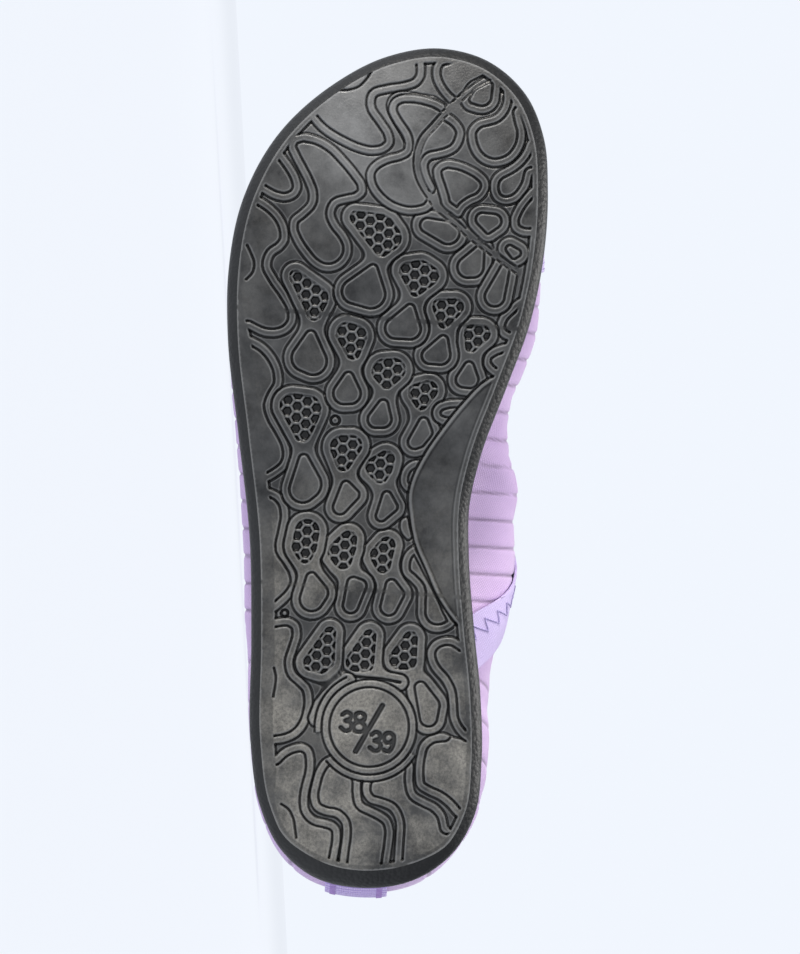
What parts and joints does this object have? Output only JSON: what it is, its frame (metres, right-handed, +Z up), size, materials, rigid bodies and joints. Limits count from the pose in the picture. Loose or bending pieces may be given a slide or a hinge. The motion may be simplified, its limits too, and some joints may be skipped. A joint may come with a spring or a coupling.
{
  "type": "water shoe",
  "caption": "Slip-on water shoe for the right foot: moulded rubber cup sole with a patterned tread, ribbed knit upper, elastic collar and heel pull tab, lying on its outer side.",
  "frame": {"origin": "middle of the bounding box at the floor that the shoe lies on", "axes": "+X runs from the toe to the heel, +Y from the tread to the collar, +Z up, from the outer side that lies on the floor to the arch side"},
  "size_m": [0.2526, 0.082, 0.097],
  "materials": {
    "rubber": "moulded, matt with a dry satin sheen",
    "liner": "brushed foam liner",
    "ribbed_knit": "fine knit with sunk cross ribs",
    "smooth_knit": "smooth close knit",
    "elastic": "folded elastic tape",
    "woven_tape": "woven tape"
  },
  "bodies": {
    "root": {"outsole": "rubber", "insole": "liner", "upper": "ribbed_knit", "toe_cap": "smooth_knit", "vamp_band": "smooth_knit", "collar_binding": "elastic", "heel_tab": "woven_tape"}
  },
  "joints": []
}
